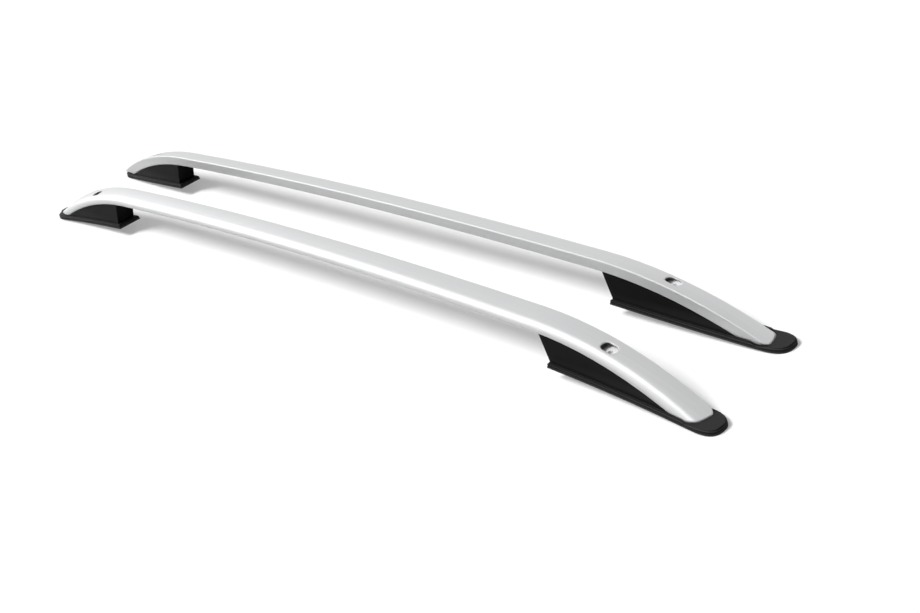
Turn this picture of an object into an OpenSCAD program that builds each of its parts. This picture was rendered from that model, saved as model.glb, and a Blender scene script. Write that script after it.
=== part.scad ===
// Roof side rail pair: two mirrored rails, each a bent hollow aluminium extrusion on two moulded feet.
// Rail frame: X runs from the rear toe to the front nose, +Y points at the other rail, Z is up.

/* [Rail path] */
// Length of one rail from toe to nose
rail_len = 1900; // [1700:10:2200]
// Height of the section's top line over the toe, in line with the floor
toe_line_h = 8.8; // [4:0.2:16]
// Height of the section's top line over the nose
nose_line_h = -7.6; // [-14:0.2:-2]
// Radius of the rear bend
rear_bend_r = 754; // [700:1:820]
// Turn of the rear bend in degrees
rear_bend_turn = 26.1; // [25:0.1:28]
// Radius of the shallow crown behind its highest point
crown_rear_r = 13800; // [12000:100:15000]
// Turn of the crown behind its highest point, in degrees
crown_rear_turn = 2.45; // [2.2:0.05:2.7]
// Radius of the shallow crown ahead of its highest point
crown_front_r = 15100; // [15100:100:18000]
// Radius of the front bend
front_bend_r = 712; // [680:1:760]
// Turn of the front bend in degrees
front_bend_turn = 29.5; // [28.5:0.1:31]
// Lean of the bend plane towards the other rail, in degrees
plane_lean = 7.6; // [4:0.2:10]

/* [Extrusion] */
// Width of the extruded section
section_w = 42; // [38:0.5:48]
// Height of the extruded section
section_h = 20.5; // [18:0.5:24]
// Wall of the extrusion
wall_t = 2.5; // [1.5:0.1:3]
// Radius of the slightly domed top
top_r = 150; // [120:5:220]
// Radius of the soft shoulder on the outer side
shoulder_r = 14; // [11:0.5:15]
// Radius of the crisp upper edge on the inner side
crisp_r = 1.2; // [0.8:0.1:2]
// Radius of the two lower edges
lower_r = 2.2; // [1.5:0.1:3]
// Radius of the trimmed tip's inner corner, seen from above
tip_corner_r = 12; // [5:1:16]

/* [Pair] */
// Distance between the two rails, from toe to toe
pair_gap = 212; // [160:1:400]
// How far the left rail lies behind the right one
pair_offset = 38; // [0:1:80]

/* [Roof] */
// Radius of the roof arc that the feet are moulded to
roof_r = 11700; // [9500:100:16000]
// Thickness of the rubber gaskets
gasket_t = 3; // [2:0.5:4]
// How far a gasket stands out round its foot
gasket_lip = 0.8; // [0.4:0.1:1.2]

/* [Feet] */
// Length of the front foot from nose to inner end
front_foot_len = 320; // [280:5:380]
// Length of the rear foot from toe to inner end
rear_foot_len = 272; // [230:5:320]
// Reach of the front nose past the trimmed extrusion
nose_reach = 29; // [24:1:40]
// Reach of the rear toe past the trimmed extrusion
toe_reach = 12; // [8:1:20]
// Slope of the front foot's end face in degrees
front_end_lean = 13; // [5:1:20]
// Slope of the rear foot's end face in degrees
rear_end_lean = 25; // [10:1:30]
// How far the rear lip runs past the end face
rear_lip_extra = 14; // [8:1:20]
// How far the front lip runs past the end face
front_lip_extra = 3; // [2:1:6]
// Inset of a foot's wall from the side of the extrusion
foot_inset = 1; // [0.5:0.1:2]
// Width that the lip adds on each side of a foot
lip_w = 5; // [3:0.5:7]
// Height of the lip above the gasket
lip_h = 6; // [4:0.5:8]
// Wall of the moulded feet
foot_wall = 3; // [2:0.5:4]
// Thickness of the ribs inside the feet
rib_t = 2; // [1.5:0.5:3]
// Spacing of the ribs inside the feet
rib_pitch = 42; // [35:1:60]

/* [Fixings] */
// Distance of the front slot from the nose
front_slot_d = 203; // [190:1:230]
// Distance of the rear slot from the toe
rear_slot_d = 190; // [175:1:210]
// Length of the access slots
slot_len = 29; // [24:1:34]
// Width of the access slots
slot_w = 17; // [14:0.5:19]
// Bore for the mounting bolt
bolt_bore = 8.5; // [6.5:0.1:10]
// Outer diameter of the metal sleeves
sleeve_d = 14; // [12.5:0.5:17]
// Outer diameter of the moulded bosses round the sleeves
boss_d = 21; // [19:0.5:24]
// Length of the wedge seats inside the extrusion
seat_len = 34; // [30:1:40]
// Metal under a wedge seat's level face at its thin end
seat_rise = 5; // [2:0.5:6]
// Diameter of the foot screws
screw_d = 4.2; // [3.5:0.1:5]
// Diameter of the foot screws' heads
screw_head_d = 8; // [7:0.5:9]
// Depth of the moulding that a foot screw clamps
screw_grip = 9; // [7:0.5:12]
// Distance of the front foot's inner screw from its end face
front_screw_in = 30; // [25:1:60]
// Distance of the front foot's outer screw from its bolt
front_screw_out = 60; // [40:1:70]
// Distance of the rear foot's inner screw from its end face
rear_screw_in = 28; // [20:1:50]
// Distance of the rear foot's outer screw from its bolt
rear_screw_out = 62; // [40:1:70]

/* [Fits] */
// Clearance between parts that seat on each other
fit_gap = 0.3; // [0.1:0.05:0.4]

/* [Hidden] */

aluminium = [0.80, 0.81, 0.82];
black_plastic = [0.10, 0.10, 0.11];
rubber = [0.05, 0.05, 0.06];
steel = [0.62, 0.63, 0.65];

half_w = section_w / 2;
tall = 400;
wide = 200;
arc_fn = 200;
join_step = 0.02;
roof_step = 25;
round_fn = 48;
tip_edge = 2;
screw_head_h = 3;
screw_bite = 9;
nose_round = 46;
wall_h = 62;
nose_power = 0.72;
bend_spare = 90;

// Path of the section's top line, in the plane of the bends: a bend, two arcs of a crown and a bend
line_start = [0, toe_line_h / cos(plane_lean)];
line_end = [rail_len, nose_line_h / cos(plane_lean)];
// Run of one arc of radius r that starts at heading h and turns down by t
function arc_run(r, h, t) = r * [sin(h) - sin(h - t), cos(h - t) - cos(h)];
bend_r = [rear_bend_r, crown_rear_r, crown_front_r, front_bend_r];
// Run of all the arcs for a crown that turns by t ahead of its highest point, started level
function path_run(t) =
    arc_run(rear_bend_r, 0, rear_bend_turn)
    + arc_run(crown_rear_r, -rear_bend_turn, crown_rear_turn)
    + arc_run(crown_front_r, -rear_bend_turn - crown_rear_turn, t)
    + arc_run(front_bend_r, -rear_bend_turn - crown_rear_turn - t, front_bend_turn);
// That turn, found by Newton's steps so that the path reaches from end to end
function solve_crown(t, steps) =
    steps == 0 ? t
    : solve_crown(t + (norm(chord) - norm(path_run(t))) / (crown_front_r * PI / 180), steps - 1);
chord = line_end - line_start;
crown_front_turn = solve_crown(crown_rear_turn, 12);
level_run = path_run(crown_front_turn);
turns = [rear_bend_turn, crown_rear_turn, crown_front_turn, front_bend_turn];
// Heading of the path at the start of each arc
first_heading = atan2(chord[1], chord[0]) - atan2(level_run[1], level_run[0]);
function heading_at(i) = i == 0 ? first_heading : heading_at(i - 1) - turns[i - 1];
headings = [for (i = [0:4]) heading_at(i)];
function start_of(i) = i == 0 ? line_start : start_of(i - 1) + arc_run(bend_r[i - 1], headings[i - 1], turns[i - 1]);
starts = [for (i = [0:3]) start_of(i)];
centres = [for (i = [0:3]) starts[i] + bend_r[i] * [sin(headings[i]), -cos(headings[i])]];
// Which of the arcs lies over x
function arc_at(x) = x < starts[1][0] ? 0 : x < starts[2][0] ? 1 : x < starts[3][0] ? 2 : 3;
// Height of the top line over x, in the plane of the bends
function line_at(x) =
    let (i = arc_at(x))
    centres[i][1] + sqrt(pow(bend_r[i], 2) - pow(x - centres[i][0], 2));
// Height above the floor and sideways place of the top line over x
function top_z(x) = line_at(x) * cos(plane_lean);
function mid_y(x) = line_at(x) * sin(plane_lean);
// Slope of the top line over x in degrees
function slope_at(x) = let (i = arc_at(x)) -asin((x - centres[i][0]) / bend_r[i]);

// Roof arc through the toe and the nose
roof_centre_z = -sqrt(pow(roof_r, 2) - pow(rail_len / 2, 2));
function roof_z(x) = roof_centre_z + sqrt(pow(roof_r, 2) - pow(x - rail_len / 2, 2));

front_bolt_x = rail_len - front_slot_d;
rear_bolt_x = rear_slot_d;
front_end_x = rail_len - front_foot_len;
rear_end_x = rear_foot_len;

// Outline of the extrusion with its walls moved in by inset, as [sideways, up] from the top line
function arc_points(c, r, a0, a1, n) = [for (i = [0:n]) let (a = a0 + (a1 - a0) * i / n) c + r * [cos(a), sin(a)]];
function shoulder_centre() =
    [-half_w + shoulder_r, -top_r + sqrt(pow(top_r - shoulder_r, 2) - pow(section_w - shoulder_r, 2))];
function shoulder_angle() = 90 + asin((section_w - shoulder_r) / (top_r - shoulder_r));
function corner(side, r, inset, a0) =
    let (k = max(r, inset + 0.4))
    arc_points([side * (half_w - k), -section_h + k], k - inset, a0, a0 + 90, 3);
function crisp_corner(inset) =
    let (k = max(crisp_r, inset + 0.4))
    arc_points([half_w - k, -k], k - inset, 0, 90, 3);
function section_outline(inset) = concat(
    crisp_corner(inset),
    arc_points([half_w, -top_r], top_r - inset, 92, shoulder_angle(), 6),
    arc_points(shoulder_centre(), shoulder_r - inset, shoulder_angle() + 11, 180, 7),
    corner(-1, lower_r, inset, 180),
    corner(1, lower_r, inset, 270)
);
// The same outline with everything above the lower half opened up to the sky
function under_outline(inset) = concat(
    [[half_w + wide, tall], [-half_w - wide, tall], [-half_w - wide, -section_h / 2]],
    [[-half_w + inset, -section_h / 2]],
    corner(-1, lower_r, inset, 180),
    corner(1, lower_r, inset, 270),
    [[half_w - inset, -section_h / 2], [half_w + wide, -section_h / 2]]
);
// A section point turned back by the lean, so that the section stands upright in the leaning plane
function stand_up(p) = [
    p[0] * sin(plane_lean) + p[1] * cos(plane_lean),
    p[1] * sin(plane_lean) - p[0] * cos(plane_lean)
];

// Sweeps an outline, less its hole, along one of the arcs and past both its ends by overlap
module bend(i, outline, hole = [], overlap = 0) {
    spare = overlap * 180 / PI / bend_r[i];
    rotate([-plane_lean, 0, 0])
        translate([centres[i][0], 0, centres[i][1]])
            rotate([90, 0, 0])
                rotate([0, 0, 90 + headings[i + 1] - spare])
                    rotate_extrude(angle = turns[i] + 2 * spare, $fn = arc_fn)
                        translate([bend_r[i], 0])
                            difference() {
                                polygon([for (p = outline) stand_up(p)]);
                                if (len(hole) > 0)
                                    polygon([for (p = hole) stand_up(p)]);
                            }
}

// Number of the arc that a foot holds: the first at the rear, the last at the front
function foot_arc(dir) = dir > 0 ? 3 : 0;

// Everything between x from and x to that lies below the roof arc raised by rise
module under_roof(rise, from = -wide, to = rail_len + wide) {
    rotate([90, 0, 0])
        translate([0, 0, -wide])
            linear_extrude(height = 2 * wide)
                polygon(concat(
                    [for (x = [from:roof_step:to]) [x, roof_z(x) + rise]],
                    [[to, roof_z(to) + rise], [to, -tall], [from, -tall]]
                ));
}

// Upright prism on a plan outline
module column(points) {
    translate([0, 0, -tall / 2])
        linear_extrude(height = tall)
            polygon(points);
}

// Upright obround for an access slot, through the upper wall only
module slot_cutter(x) {
    translate([x, mid_y(x), top_z(x) - section_h / 2]) {
        for (side = [-1, 1])
            translate([side * (slot_len - slot_w) / 2, 0, 0])
                cylinder(d = slot_w, h = tall, $fn = round_fn);
        translate([-(slot_len - slot_w) / 2, -slot_w / 2, 0])
            cube([slot_len - slot_w, slot_w, tall]);
    }
}

// Upright round bar at x between two heights
module bar(x, d, from, to) {
    translate([x, mid_y(x), from])
        cylinder(d = d, h = to - from, $fn = round_fn);
}

// Upright hole all through at x
module drill(x, d) {
    bar(x, d, -tall / 2 - 10, tall / 2 + 10);
}

// Outline of a foot in plan, grow wider than its wall all round, with a blunt rounded end at the tip.
// tip_x is where the rounded end reaches, end_x where the straight end lies, and dir points to the tip.
function wall_half(grow) = half_w - foot_inset + grow;
function side_run(end_x, root_x, dir, side, grow) = [
    for (i = [0:8])
    let (x = end_x + (root_x - end_x) * (side * dir > 0 ? 1 - i / 8 : i / 8))
    [x, mid_y(x) + side * wall_half(grow)]
];
function tip_round(root_x, tip_x, dir, grow) = [
    for (i = [1:15])
    let (a = -90 * dir + i * dir * 180 / 16)
    let (reach = tip_x - root_x)
    let (swing = mid_y(tip_x) - mid_y(root_x))
    let (along = pow(abs(cos(a)), nose_power))
    [
        root_x + reach * along,
        mid_y(root_x) + swing * along + sign(sin(a)) * wall_half(grow) * pow(abs(sin(a)), nose_power)
    ]
];
function foot_outline(end_x, tip_x, dir, grow) =
    let (root_x = tip_x - dir * nose_round)
    dir > 0
    ? concat(
        side_run(end_x, root_x, dir, -1, grow),
        tip_round(root_x, tip_x, dir, grow),
        side_run(end_x, root_x, dir, 1, grow)
    )
    : concat(
        side_run(end_x, root_x, dir, 1, grow),
        tip_round(root_x, tip_x, dir, grow),
        side_run(end_x, root_x, dir, -1, grow)
    );

// Positions of the screws that hold each foot to the extrusion
front_screws = [front_end_x + front_screw_in, front_bolt_x + front_screw_out];
rear_screws = [rear_end_x - rear_screw_in, rear_bolt_x - rear_screw_out];

// Height of the level trim of each tip, where the top line reaches the end of the extrusion
front_trim_z = top_z(rail_len - nose_reach);
rear_trim_z = top_z(toe_reach);

// Underside of the extrusion over x, on its middle line
function underside_z(x) = top_z(x) - section_h / cos(slope_at(x));

// Half space above z
module above(z) {
    translate([-wide, -wide, z])
        cube([rail_len + 2 * wide, 2 * wide, tall]);
}

// What the level trim takes from one half of the rail
module trim_below(dir, z) {
    translate([dir > 0 ? rail_len / 2 : -wide, -wide, z - tall])
        cube([rail_len / 2 + wide, 2 * wide, tall]);
}

// Rounds off the inner corner of the front tip
module tip_corner() {
    x = rail_len - nose_reach;
    y = mid_y(x) + half_w;
    difference() {
        translate([x - tip_corner_r, y - tip_corner_r, -tall / 2])
            cube([wide, wide, tall]);
        translate([x - tip_corner_r, y - tip_corner_r, -tall / 2])
            cylinder(r = tip_corner_r, h = tall, $fn = round_fn);
    }
}

// Extruded tube with both tips trimmed, the access slots, the bolt holes and the screw holes
module rail_tube() {
    color(aluminium)
        difference() {
            union() {
                for (i = [0, 2])
                    bend(i, section_outline(-join_step), section_outline(wall_t + join_step), overlap = 1);
                for (i = [1, 3])
                    bend(i, section_outline(0), section_outline(wall_t));
            }
            trim_below(1, front_trim_z);
            trim_below(-1, rear_trim_z);
            tip_corner();
            for (x = [front_bolt_x, rear_bolt_x]) {
                slot_cutter(x);
                bar(x, bolt_bore, underside_z(x) - section_h, top_z(x));
            }
            for (x = concat(front_screws, rear_screws))
                bar(x, screw_d + fit_gap, underside_z(x) - section_h, underside_z(x) + section_h / 2);
        }
}

// Everything that the extrusion, with a clearance, and the air above it take from a foot
module rail_room(dir, trim_z) {
    intersection() {
        bend(foot_arc(dir), under_outline(-fit_gap), overlap = bend_spare);
        above(trim_z - fit_gap);
    }
}

// Where a foot's walls start, just past the top of its sloping end face
function wall_start(end_x, dir, lean) = end_x - dir * wall_h * tan(lean);

// What a foot's sloping end face cuts away on the side of the rail's middle
module past_end(end_x, dir, lean, inset) {
    translate([end_x + dir * inset, 0, roof_z(end_x) + gasket_t])
        rotate([0, -dir * lean, 0])
            translate([dir > 0 ? -tall : 0, -wide, -tall])
                cube([tall, 2 * wide, 2 * tall]);
}

// Cross ribs inside a foot
module ribs(end_x, root_x, dir) {
    for (x = [end_x + dir * rib_pitch : dir * rib_pitch : root_x])
        translate([x - rib_t / 2, -wide, -tall])
            cube([rib_t, 2 * wide, 2 * tall]);
}

// Space inside a foot's walls, under its deck and open at the base, round the ribs and the bosses
module foot_hollow(end_x, root_x, dir, bolt_x, screws, lean) {
    difference() {
        column(foot_outline(wall_start(end_x, dir, lean), root_x, dir, -foot_wall));
        bend(foot_arc(dir), under_outline(-fit_gap - foot_wall), overlap = bend_spare);
        past_end(end_x, dir, lean, foot_wall);
        ribs(end_x, root_x, dir);
        drill(bolt_x, boss_d);
        for (x = screws)
            drill(x, screw_head_d + 2 * foot_wall);
    }
}

// Moulded foot: walls under the extrusion, a lip round the base and a solid tip
module foot(end_x, tip_x, dir, bolt_x, screws, lean, lip_extra, reach, trim_z) {
    root_x = tip_x - dir * (nose_round + section_h);
    color(black_plastic)
        difference() {
            union() {
                difference() {
                    column(foot_outline(wall_start(end_x, dir, lean), tip_x - dir * reach * 0.7, dir, 0));
                    past_end(end_x, dir, lean, 0);
                }
                for (edge = [0, tip_edge])
                    intersection() {
                        column(foot_outline(end_x - dir * (lip_extra - edge), tip_x - dir * edge, dir, lip_w - edge));
                        under_roof(gasket_t + lip_h - tip_edge + edge);
                    }
                tip_ramp(root_x, tip_x, dir, reach, trim_z);
            }
            foot_hollow(end_x, root_x, dir, bolt_x, screws, lean);
            under_roof(gasket_t);
            rail_room(dir, trim_z);
            drill(bolt_x, sleeve_d + 2 * fit_gap);
            for (x = screws) {
                drill(x, screw_d + fit_gap);
                bar(x, screw_head_d + 2 * fit_gap, -tall / 2, underside_z(x) - screw_grip);
            }
        }
}

// Blunt tip that falls from the end of the extrusion to the lip
module tip_ramp(root_x, tip_x, dir, reach, trim_z) {
    lip_top = roof_z(tip_x) + gasket_t + lip_h;
    hull() {
        translate([0, 0, lip_top - 1])
            linear_extrude(height = 0.5)
                polygon(foot_outline(root_x, tip_x - dir * 1.5 * tip_edge, dir, lip_w - 1.5 * tip_edge));
        translate([0, 0, trim_z - 1])
            linear_extrude(height = 0.5)
                polygon(foot_outline(root_x, tip_x - dir * reach * 0.7, dir, -tip_edge / 2));
    }
}

// Rubber gasket under a foot
module gasket(end_x, tip_x, dir, bolt_x, lip_extra) {
    color(rubber)
        difference() {
            intersection() {
                column(foot_outline(end_x - dir * (lip_extra + gasket_lip), tip_x, dir, lip_w + gasket_lip));
                under_roof(gasket_t);
            }
            under_roof(0);
            drill(bolt_x, sleeve_d + 2 * fit_gap);
        }
}

// Wedge inside the extrusion that gives the bolt head a level seat; up_dir points uphill
module bolt_seat(bolt_x, up_dir) {
    crest_x = bolt_x + up_dir * seat_len / 2;
    level_z = top_z(crest_x) - (section_h - wall_t) / cos(slope_at(crest_x)) + seat_rise;
    color(steel)
        difference() {
            bend(foot_arc(-up_dir), section_outline(wall_t + fit_gap));
            above(level_z);
            translate([bolt_x - seat_len / 2 - tall, -wide, -tall / 2])
                cube([tall, 2 * wide, tall]);
            translate([bolt_x + seat_len / 2, -wide, -tall / 2])
                cube([tall, 2 * wide, tall]);
            drill(bolt_x, bolt_bore);
        }
}

// Metal sleeve that carries the bolt's load from the extrusion to the roof
module sleeve(bolt_x) {
    color(steel)
        difference() {
            bar(bolt_x, sleeve_d, -section_h, top_z(bolt_x));
            under_roof(0);
            translate([bolt_x, 0, underside_z(bolt_x) - fit_gap / cos(slope_at(bolt_x))])
                rotate([0, -slope_at(bolt_x), 0])
                    translate([-section_h * 2, -wide, 0])
                        cube([section_h * 4, 2 * wide, section_h * 4]);
            drill(bolt_x, bolt_bore);
        }
}

// Screws that hold a foot to the extrusion, driven from below
module foot_screws(screws) {
    color(steel)
        for (x = screws)
            translate([x, mid_y(x), underside_z(x) - screw_grip]) {
                translate([0, 0, -screw_head_h])
                    difference() {
                        cylinder(d = screw_head_d, h = screw_head_h, $fn = round_fn);
                        translate([0, 0, -1])
                            cylinder(d = screw_d * 0.8, h = 1 + screw_head_h / 2, $fn = 6);
                    }
                cylinder(d = screw_d, h = screw_grip + screw_bite, $fn = round_fn);
            }
}

module front_foot() {
    foot(front_end_x, rail_len, 1, front_bolt_x, front_screws, front_end_lean, front_lip_extra,
        nose_reach, front_trim_z);
}

module rear_foot() {
    foot(rear_end_x, 0, -1, rear_bolt_x, rear_screws, rear_end_lean, rear_lip_extra,
        toe_reach, rear_trim_z);
}

// The right rail as built, and the left rail as its mirror image, shifted along the pair
module right() {
    translate([-(rail_len - pair_offset) / 2, -pair_gap / 2, 0])
        children();
}

module left() {
    translate([-(rail_len + pair_offset) / 2, pair_gap / 2, 0])
        mirror([0, 1, 0])
            children();
}

right() rail_tube();  // right_rail_tube
right() front_foot();  // right_front_foot
right() rear_foot();  // right_rear_foot
right() gasket(front_end_x, rail_len, 1, front_bolt_x, front_lip_extra);  // right_front_gasket
right() gasket(rear_end_x, 0, -1, rear_bolt_x, rear_lip_extra);  // right_rear_gasket
right() bolt_seat(front_bolt_x, -1);  // right_front_bolt_seat
right() bolt_seat(rear_bolt_x, 1);  // right_rear_bolt_seat
right() sleeve(front_bolt_x);  // right_front_sleeve
right() sleeve(rear_bolt_x);  // right_rear_sleeve
right() foot_screws(front_screws);  // right_front_foot_screws
right() foot_screws(rear_screws);  // right_rear_foot_screws
left() rail_tube();  // left_rail_tube
left() front_foot();  // left_front_foot
left() rear_foot();  // left_rear_foot
left() gasket(front_end_x, rail_len, 1, front_bolt_x, front_lip_extra);  // left_front_gasket
left() gasket(rear_end_x, 0, -1, rear_bolt_x, rear_lip_extra);  // left_rear_gasket
left() bolt_seat(front_bolt_x, -1);  // left_front_bolt_seat
left() bolt_seat(rear_bolt_x, 1);  // left_rear_bolt_seat
left() sleeve(front_bolt_x);  // left_front_sleeve
left() sleeve(rear_bolt_x);  // left_rear_sleeve
left() foot_screws(front_screws);  // left_front_foot_screws
left() foot_screws(rear_screws);  // left_rear_foot_screws
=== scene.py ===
# %% [markdown]
# A pair of car roof rails, photographed on a white studio floor. Each rail is a bent aluminium extrusion on
# two moulded black feet, with thin rubber gaskets under them. The shapes come from the CAD frame, so the
# work here is the finish of each piece, the light and the camera.

# %% Load the CAD frame
from math import cos, radians, sin

import bmesh
import bpy
from mathutils import Matrix, Vector


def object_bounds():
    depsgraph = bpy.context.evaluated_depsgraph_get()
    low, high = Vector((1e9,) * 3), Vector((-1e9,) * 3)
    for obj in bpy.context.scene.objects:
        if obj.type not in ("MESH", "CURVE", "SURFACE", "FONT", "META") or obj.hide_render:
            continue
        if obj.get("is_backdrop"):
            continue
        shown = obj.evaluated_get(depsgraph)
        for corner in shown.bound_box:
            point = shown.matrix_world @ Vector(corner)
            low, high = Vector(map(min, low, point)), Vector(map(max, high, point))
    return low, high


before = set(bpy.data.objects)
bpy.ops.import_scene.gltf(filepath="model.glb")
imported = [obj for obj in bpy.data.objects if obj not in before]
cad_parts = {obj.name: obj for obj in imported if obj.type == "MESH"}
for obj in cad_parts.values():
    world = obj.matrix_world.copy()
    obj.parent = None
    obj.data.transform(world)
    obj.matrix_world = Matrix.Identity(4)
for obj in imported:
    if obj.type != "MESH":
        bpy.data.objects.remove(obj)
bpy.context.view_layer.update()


def plain_bounds():
    """The model's lowest and highest corners as plain lists."""
    low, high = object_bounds()
    return [[float(v) for v in low], [float(v) for v in high]]


# %% [markdown]
# A photograph can only be matched from the place it was taken from.
# The camera stood to the right of the rails' front ends, a little above a metre high, and was rolled to one side.
# The place, the heading, the tilt and the roll are kept as four plain values, and the lens is given in millimetres.
# A matrix built from the three camera directions is used, because it keeps the roll apart from the aim.

# %% Camera
CAMERA_PLACE = Vector((2.1806, -1.3517, 1.1702))
CAMERA_HEADING = radians(144.21)
CAMERA_TILT = radians(27.15)
CAMERA_ROLL = radians(-15.49)
LENS_MM = 59.01
SENSOR_MM = 36.0


def add_camera():
    """Adds the camera and makes it the scene's own."""
    level = Vector((cos(CAMERA_HEADING), sin(CAMERA_HEADING), 0))
    look = level * cos(CAMERA_TILT) - Vector((0, 0, sin(CAMERA_TILT)))
    side = look.cross(Vector((0, 0, 1))).normalized()
    up = side.cross(look)
    right = side * cos(CAMERA_ROLL) + up * sin(CAMERA_ROLL)
    top = up * cos(CAMERA_ROLL) - side * sin(CAMERA_ROLL)
    data = bpy.data.cameras.new("camera")
    data.lens = LENS_MM
    data.sensor_width = SENSOR_MM
    data.clip_end = 100
    camera = bpy.data.objects.new("camera", data)
    axes = Matrix((right, top, -look)).transposed()
    camera.matrix_world = Matrix.Translation(CAMERA_PLACE) @ axes.to_4x4()
    bpy.context.scene.collection.objects.link(camera)
    bpy.context.scene.camera = camera
    return camera


camera = add_camera()
print("camera at", [round(v, 3) for v in camera.matrix_world.translation])

# %% [markdown]
# Every finish below is a small node tree, so two helpers keep the cells short.
# One starts a material and hands back its nodes and links, and the other adds a node with its settings.
# The patterns read Object coordinates, which a CAD node keeps in metres.
# The CAD edges are sharp or nearly so, and a sharp edge catches no light. A Bevel node bends the shading there.
# It changes the shading alone, and the mesh stays as it is.

# %% Helpers for materials
def new_material(name):
    """A new material with its node tree and its Principled shader."""
    material = bpy.data.materials.new(name)
    material.use_nodes = True
    tree = material.node_tree
    return material, tree, tree.nodes["Principled BSDF"]


def add_node(tree, kind, values=None, **settings):
    """Adds a node, sets its properties, and then the defaults of its inputs."""
    node = tree.nodes.new(kind)
    for key, value in settings.items():
        setattr(node, key, value)
    for key, value in (values or {}).items():
        node.inputs[key].default_value = value
    return node


def stretched_coordinates(tree, scale):
    """Object coordinates, stretched by a scale for each axis."""
    place = add_node(tree, "ShaderNodeTexCoord")
    mapping = add_node(tree, "ShaderNodeMapping", {"Scale": scale})
    tree.links.new(place.outputs["Object"], mapping.inputs["Vector"])
    return mapping.outputs["Vector"]


def add_noise(tree, vector, scale, detail=2.0, roughness=0.5):
    """A noise texture on the given coordinates."""
    values = {"Scale": scale, "Detail": detail, "Roughness": roughness}
    noise = add_node(tree, "ShaderNodeTexNoise", values)
    tree.links.new(vector, noise.inputs["Vector"])
    return noise.outputs["Fac"]


def ramp(tree, value, low, high):
    """Maps a value from 0 to 1 onto the range from low to high."""
    node = add_node(tree, "ShaderNodeMapRange", {"To Min": low, "To Max": high})
    tree.links.new(value, node.inputs["Value"])
    return node.outputs["Result"]


def product(tree, first, second):
    """Multiplies two values."""
    node = add_node(tree, "ShaderNodeMath", operation="MULTIPLY")
    tree.links.new(first, node.inputs[0])
    tree.links.new(second, node.inputs[1])
    return node.outputs[0]


def colour_ramp(tree, value, dark, light):
    """Mixes two colours by a value."""
    node = add_node(tree, "ShaderNodeMix", data_type="RGBA")
    node.inputs["A"].default_value = (*dark, 1)
    node.inputs["B"].default_value = (*light, 1)
    tree.links.new(value, node.inputs["Factor"])
    return node.outputs["Result"]


def add_bump(tree, shader, height, distance, strength, edge_radius):
    """Feeds a height into the shader's normal, over edges that look rounded by edge_radius."""
    bump = add_node(tree, "ShaderNodeBump", {"Distance": distance, "Strength": strength})
    edge = add_node(tree, "ShaderNodeBevel", {"Radius": edge_radius}, samples=6)
    tree.links.new(edge.outputs["Normal"], bump.inputs["Normal"])
    tree.links.new(height, bump.inputs["Height"])
    tree.links.new(bump.outputs["Normal"], shader.inputs["Normal"])


# %% [markdown]
# The extrusions are aluminium, linished along their length and then anodised to a silky silver.
# A mirror-like metal would show the studio in stripes, and plain grey paint would show no sheen at all.
# So the shader is a metal of middling roughness, with two noises stretched along the rail.
# The finer one is the linished grain, and the coarser one the faint streaks that show from a few metres.
# They vary across the rail with Y alone, because the rail bends in Z and a pattern there would break into dots.

# %% Satin aluminium
ALUMINIUM_DARK = (0.62, 0.625, 0.63)
ALUMINIUM_LIGHT = (0.71, 0.715, 0.72)
GRAIN_STRETCH = (3.0, 1600.0, 0.5)
STREAK_STRETCH = (1.6, 420.0, 0.5)
ALUMINIUM_METALLIC = 0.85
ALUMINIUM_ROUGHNESS = (0.38, 0.52)
ALUMINIUM_EDGE = 0.0042


def make_aluminium():
    """Satin anodised aluminium with fine lines along X."""
    material, tree, shader = new_material("satin_aluminium")
    shader.inputs["Metallic"].default_value = ALUMINIUM_METALLIC
    grain = add_noise(tree, stretched_coordinates(tree, GRAIN_STRETCH), 1.0, 3.0, 0.6)
    streaks = add_noise(tree, stretched_coordinates(tree, STREAK_STRETCH), 1.0, 3.0, 0.7)
    colour = colour_ramp(tree, streaks, ALUMINIUM_DARK, ALUMINIUM_LIGHT)
    tree.links.new(colour, shader.inputs["Base Color"])
    tree.links.new(ramp(tree, grain, *ALUMINIUM_ROUGHNESS), shader.inputs["Roughness"])
    add_bump(tree, shader, grain, 0.00002, 0.25, ALUMINIUM_EDGE)
    return material


aluminium = make_aluminium()
print("made", aluminium.name)

# %% [markdown]
# The feet are moulded in black plastic with the fine spark-eroded grain of car trim.
# The grain is far too small to model, so a fine noise in the bump breaks up the sheen.
# The toes, noses and lips are greyer than the walls, so a grey painted sheen lies over the black in the base
# colour.
# It rises towards the floor, by the height in Object coordinates, and leaves painted shade higher up, under the
# rail.
# It stays off the creases along the lip and under the rail, which stay blacker as painted shade.
# An Ambient Occlusion node finds them, because it measures how much open air a point sees.
# The painted sheen is lighter on the rims than on the faces, as a painted highlight.
# A Bevel node finds the rims, because its normal leaves the face's own there.

# %% Moulded black plastic
PLASTIC_DARK = (0.002, 0.002, 0.0023)
PLASTIC_LIGHT = (0.004, 0.004, 0.0043)
# The grey below is a painted sheen; the settings after it shape its painted shade and painted highlight.
PAINTED_SHEEN_GREY = (0.105, 0.105, 0.106)
PAINTED_SHADE_HEIGHT = 0.042
CREASE_REACH = 0.012
OPEN_AIR = (0.55, 0.98)
RIM_WIDTH = 0.0022
RIM_TURN = (0.85, 0.99)
FACE_PAINTED_SHEEN = 0.25
PLASTIC_SHEEN = 0.05
PLASTIC_ROUGHNESS = (0.38, 0.50)
PLASTIC_EDGE = 0.0030


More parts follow.
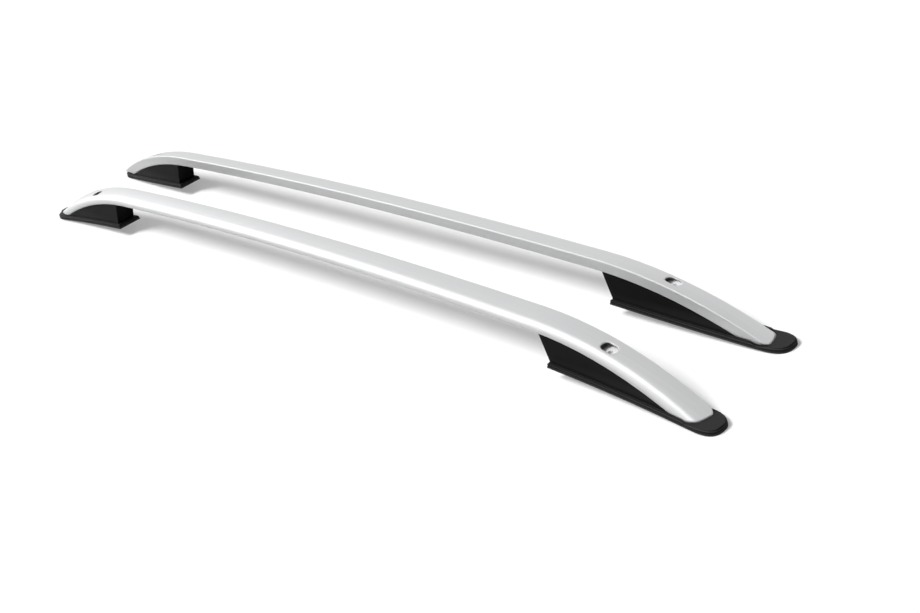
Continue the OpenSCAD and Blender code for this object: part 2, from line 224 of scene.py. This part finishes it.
def painted_rim_highlight(tree):
    """Painted highlight: one on the rims, and the face share on the faces between them."""
    rim = add_node(tree, "ShaderNodeBevel", {"Radius": RIM_WIDTH}, samples=6)
    face = add_node(tree, "ShaderNodeNewGeometry")
    turn = add_node(tree, "ShaderNodeVectorMath", operation="DOT_PRODUCT")
    span = {"From Min": RIM_TURN[0], "From Max": RIM_TURN[1], "To Min": 1.0, "To Max": FACE_PAINTED_SHEEN}
    painted_light = add_node(tree, "ShaderNodeMapRange", span)
    tree.links.new(rim.outputs["Normal"], turn.inputs[0])
    tree.links.new(face.outputs["Normal"], turn.inputs[1])
    tree.links.new(turn.outputs["Value"], painted_light.inputs["Value"])
    return painted_light.outputs["Result"]


def painted_height_shade(tree):
    """Painted shade under the rail: one at the floor, falling to nothing at the fade height."""
    place = add_node(tree, "ShaderNodeTexCoord")
    height = add_node(tree, "ShaderNodeSeparateXYZ")
    span = {"From Max": PAINTED_SHADE_HEIGHT, "To Min": 1.0, "To Max": 0.0}
    painted_light = add_node(tree, "ShaderNodeMapRange", span)
    tree.links.new(place.outputs["Object"], height.inputs[0])
    tree.links.new(height.outputs["Z"], painted_light.inputs["Value"])
    return painted_light.outputs["Result"]


def painted_crease_shade(tree):
    """Painted crease shade: one on open faces, falling to nothing in the creases."""
    air = add_node(tree, "ShaderNodeAmbientOcclusion", {"Distance": CREASE_REACH}, samples=8)
    painted_light = add_node(tree, "ShaderNodeMapRange", {"From Min": OPEN_AIR[0], "From Max": OPEN_AIR[1]})
    tree.links.new(air.outputs["AO"], painted_light.inputs["Value"])
    return painted_light.outputs["Result"]


def make_plastic():
    """Black plastic with a fine moulded grain, under a grey painted sheen that is stronger near the floor and on
    the rims, with painted shade in the creases.
    """
    material, tree, shader = new_material("grained_black_plastic")
    shader.inputs["Specular IOR Level"].default_value = PLASTIC_SHEEN
    grain = add_noise(tree, stretched_coordinates(tree, (1, 1, 1)), 1600.0, 3.0, 0.6)
    cloud = add_noise(tree, stretched_coordinates(tree, (1, 1, 1)), 14.0)
    # The grey layer is painted light: painted sheen, painted shade and painted highlight.
    painted_light = product(tree, product(tree, painted_crease_shade(tree), painted_height_shade(tree)), painted_rim_highlight(tree))
    colour = add_node(tree, "ShaderNodeMix", data_type="RGBA")
    colour.inputs["B"].default_value = (*PAINTED_SHEEN_GREY, 1)
    tree.links.new(painted_light, colour.inputs["Factor"])
    tree.links.new(colour_ramp(tree, grain, PLASTIC_DARK, PLASTIC_LIGHT), colour.inputs["A"])
    tree.links.new(colour.outputs["Result"], shader.inputs["Base Color"])
    tree.links.new(ramp(tree, cloud, *PLASTIC_ROUGHNESS), shader.inputs["Roughness"])
    add_bump(tree, shader, grain, 0.00006, 0.35, PLASTIC_EDGE)
    return material


plastic = make_plastic()
print("made", plastic.name)

# %% [markdown]
# The gaskets are soft rubber, duller and blacker than the feet, with a faint bloom.
# The sleeves and screws are steel with thin zinc plating, which is cloudy rather than lined.
# The wedge seats lie in the shade of the access slots, where only their tone shows.
# The front slots look pale, so the front seats are painted light: a matt, pale colour with a mottle.
# The rear slots look dark, so the rear seats are painted shade: the same cloudy zinc in black.

# %% Rubber, zinc, and seats in painted light and shade
RUBBER_DARK, RUBBER_LIGHT = (0.008, 0.008, 0.008), (0.016, 0.016, 0.016)
ZINC_DARK, ZINC_LIGHT = (0.52, 0.53, 0.55), (0.66, 0.67, 0.69)
SHADED_SEAT_DARK, SHADED_SEAT_LIGHT = (0.05, 0.05, 0.052), (0.09, 0.09, 0.093)
LIT_SEAT_DARK, LIT_SEAT_LIGHT = (0.78, 0.78, 0.79), (0.90, 0.90, 0.91)


def make_rubber():
    """Dull black rubber with a faint grey bloom."""
    material, tree, shader = new_material("gasket_rubber")
    bloom = add_noise(tree, stretched_coordinates(tree, (1, 1, 1)), 60.0, 4.0)
    colour = colour_ramp(tree, bloom, RUBBER_DARK, RUBBER_LIGHT)
    tree.links.new(colour, shader.inputs["Base Color"])
    tree.links.new(ramp(tree, bloom, 0.70, 0.85), shader.inputs["Roughness"])
    add_bump(tree, shader, bloom, 0.0001, 0.2, 0.0006)
    return material


def make_zinc(name, dark, light):
    """Zinc plated steel with a cloudy sheen."""
    material, tree, shader = new_material(name)
    shader.inputs["Metallic"].default_value = 1.0
    cloud = add_noise(tree, stretched_coordinates(tree, (1, 1, 1)), 180.0, 3.0)
    tree.links.new(colour_ramp(tree, cloud, dark, light), shader.inputs["Base Color"])
    tree.links.new(ramp(tree, cloud, 0.30, 0.48), shader.inputs["Roughness"])
    add_bump(tree, shader, cloud, 0.00002, 0.2, 0.0004)
    return material


def make_lit_seat_paint():
    """Pale matt metal with a mottle, as painted light on the front seats."""
    material, tree, shader = new_material("seat_with_painted_light")
    shader.inputs["Metallic"].default_value = 0.25
    mottle = add_noise(tree, stretched_coordinates(tree, (1, 1, 1)), 420.0, 4.0)
    tree.links.new(colour_ramp(tree, mottle, LIT_SEAT_DARK, LIT_SEAT_LIGHT), shader.inputs["Base Color"])
    tree.links.new(ramp(tree, mottle, 0.45, 0.60), shader.inputs["Roughness"])
    add_bump(tree, shader, mottle, 0.00005, 0.3, 0.0004)
    return material


rubber = make_rubber()
zinc = make_zinc("zinc_plated_steel", ZINC_DARK, ZINC_LIGHT)
# The rear seats' zinc is darkened to black as painted shade.
shaded_seat_paint = make_zinc("zinc_with_painted_shade", SHADED_SEAT_DARK, SHADED_SEAT_LIGHT)
# The front seats' pale colour is painted light.
lit_seat_paint = make_lit_seat_paint()
print("made", rubber.name, zinc.name, shaded_seat_paint.name, "and", lit_seat_paint.name)

# %% [markdown]
# Each CAD node already has one slot, so dressing it is only a matter of swapping that slot's material.
# The node's name says what it is made of, which is steadier than a list of objects.

# %% Dress the CAD nodes
FINISHES = (
    ("rail_tube", aluminium),
    ("foot_screws", zinc),
    ("gasket", rubber),
    # The front seats get a pale colour as painted light.
    ("front_bolt_seat", lit_seat_paint),
    # The rear seats get a black colour as painted shade.
    ("rear_bolt_seat", shaded_seat_paint),
    ("sleeve", zinc),
    ("foot", plastic),
)


def finish_for(name):
    """The first finish whose word ends the node's name."""
    return next(material for word, material in FINISHES if name.endswith(word))


for name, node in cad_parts.items():
    material = finish_for(name)
    node.data.materials.clear()
    node.data.materials.append(material)
print("dressed", len(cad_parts), "nodes")

# %% [markdown]
# The floor is one large white sheet, and only soft shadows show where the rails stand on it.
# A diffuse sheet alone would need so much light that the metal would burn out.
# So the camera sees the sheet with a little glow of its own, and the metal sees it by lamplight alone.

# %% Floor
FLOOR_SIZE = 30.0
FLOOR_COLOUR = (0.64, 0.64, 0.64, 1)
FLOOR_GLOW = 0.31


def make_floor_material():
    """White floor that keeps its shadows."""
    material, tree, shader = new_material("white_floor")
    tree.nodes.remove(shader)
    path = add_node(tree, "ShaderNodeLightPath")
    strength = add_node(tree, "ShaderNodeMath", {1: FLOOR_GLOW}, operation="MULTIPLY")
    tree.links.new(path.outputs["Is Camera Ray"], strength.inputs[0])
    sheet = add_node(tree, "ShaderNodeBsdfDiffuse", {"Color": FLOOR_COLOUR})
    glow = add_node(tree, "ShaderNodeEmission")
    both = add_node(tree, "ShaderNodeAddShader")
    tree.links.new(strength.outputs[0], glow.inputs["Strength"])
    tree.links.new(sheet.outputs[0], both.inputs[0])
    tree.links.new(glow.outputs[0], both.inputs[1])
    tree.links.new(both.outputs[0], tree.nodes["Material Output"].inputs["Surface"])
    return material


def add_floor():
    """A flat sheet under the rails."""
    mesh = bpy.data.meshes.new("floor")
    sheet = bmesh.new()
    bmesh.ops.create_grid(sheet, x_segments=1, y_segments=1, size=FLOOR_SIZE / 2)
    sheet.to_mesh(mesh)
    sheet.free()
    floor = bpy.data.objects.new("floor", mesh)
    bpy.context.scene.collection.objects.link(floor)
    mesh.materials.append(make_floor_material())
    floor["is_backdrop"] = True
    return floor


floor = add_floor()
print("floor", FLOOR_SIZE, "m wide")

# %% [markdown]
# The light is that of a white studio: pale walls all round, and one soft lamp high up.
# The lamp lays a soft shadow beside each rail. It is a sun lamp, so that the whole floor is lit alike.
# Two soft boxes that only reflections see draw the bright line on the rails' shoulders.
# One stands beyond the rear feet for the long middle run, and one hangs over the front bends.
# The walls are whitest a little above the floor, so a rail is near white where it is seen end on.
# The world shows these walls to the metal and plain white to the camera.
# Everything else gets a low even fill from it.

# %% Light
FILL_LEVEL = 0.16
WALL_LEVELS = (
    (0.00, 0.78),
    (0.12, 0.92),
    (0.22, 1.08),
    (0.42, 1.00),
    (0.80, 0.73),
    (1.00, 0.69),
)
KEY_STRENGTH = 4.1
KEY_ANGLE = radians(24)
KEY_DIRECTION = Vector((-0.46, -0.66, 1.0))
SIDE_BOX = (Vector((-2.4, -1.2, 1.6)), (3.6, 2.2), 40.0)
TOP_BOX = (Vector((0.25, -1.4, 2.8)), (2.4, 1.5), 26.0)


def wall_glow(tree):
    """Brightness of the studio's walls, by height, as a colour ramp."""
    place = add_node(tree, "ShaderNodeTexCoord")
    height = add_node(tree, "ShaderNodeSeparateXYZ")
    levels = add_node(tree, "ShaderNodeValToRGB")
    top = max(level for _, level in WALL_LEVELS)
    ramp_points = levels.color_ramp.elements
    while len(ramp_points) < len(WALL_LEVELS):
        ramp_points.new(0.5)
    for point, (position, level) in zip(ramp_points, WALL_LEVELS):
        point.position = position
        point.color = (level / top, level / top, level / top, 1)
    tree.links.new(place.outputs["Generated"], height.inputs[0])
    tree.links.new(height.outputs["Z"], levels.inputs["Fac"])
    walls = add_node(tree, "ShaderNodeBackground", {"Strength": top})
    tree.links.new(levels.outputs["Color"], walls.inputs["Color"])
    return walls


def light_world():
    """A low even fill, with white walls for the metal and plain white for the camera."""
    world = bpy.data.worlds.new("studio")
    bpy.context.scene.world = world
    world.use_nodes = True
    tree = world.node_tree
    fill = tree.nodes["Background"]
    fill.inputs["Strength"].default_value = FILL_LEVEL
    fill.inputs["Color"].default_value = (1, 1, 1, 1)
    white = add_node(tree, "ShaderNodeBackground", {"Color": (1, 1, 1, 1), "Strength": 1.0})
    path = add_node(tree, "ShaderNodeLightPath")
    in_metal = add_node(tree, "ShaderNodeMixShader")
    tree.links.new(path.outputs["Is Glossy Ray"], in_metal.inputs[0])
    tree.links.new(fill.outputs[0], in_metal.inputs[1])
    tree.links.new(wall_glow(tree).outputs[0], in_metal.inputs[2])
    mix = add_node(tree, "ShaderNodeMixShader")
    tree.links.new(path.outputs["Is Camera Ray"], mix.inputs[0])
    tree.links.new(in_metal.outputs[0], mix.inputs[1])
    tree.links.new(white.outputs[0], mix.inputs[2])
    tree.links.new(mix.outputs[0], tree.nodes["World Output"].inputs["Surface"])


def add_lamp(name, kind, place, energy):
    """A lamp that points at the middle of the rails."""
    data = bpy.data.lights.new(name, kind)
    data.energy = energy
    lamp = bpy.data.objects.new(name, data)
    lamp.location = place
    lamp.rotation_euler = (-place).to_track_quat("-Z", "Y").to_euler()
    bpy.context.scene.collection.objects.link(lamp)
    return lamp


light_world()
key = add_lamp("key_lamp", "SUN", KEY_DIRECTION * 4, KEY_STRENGTH)
key.data.angle = KEY_ANGLE
key.visible_glossy = False
for name, (place, size, power) in (("side_box", SIDE_BOX), ("top_box", TOP_BOX)):
    soft_box = add_lamp(name, "AREA", place, power)
    soft_box.data.shape = "RECTANGLE"
    soft_box.data.size, soft_box.data.size_y = size
    soft_box.visible_diffuse = False
bpy.context.scene.view_settings.view_transform = "Standard"
print("fill", FILL_LEVEL, "key", KEY_STRENGTH, "soft boxes", SIDE_BOX[2], TOP_BOX[2], "W")

# %% [markdown]
# The last cell prints the size of the dressed model.
# Nothing was moved or stretched, so it should be the size of the CAD model.

# %% Sizes and finish
print("visual box:", plain_bounds())
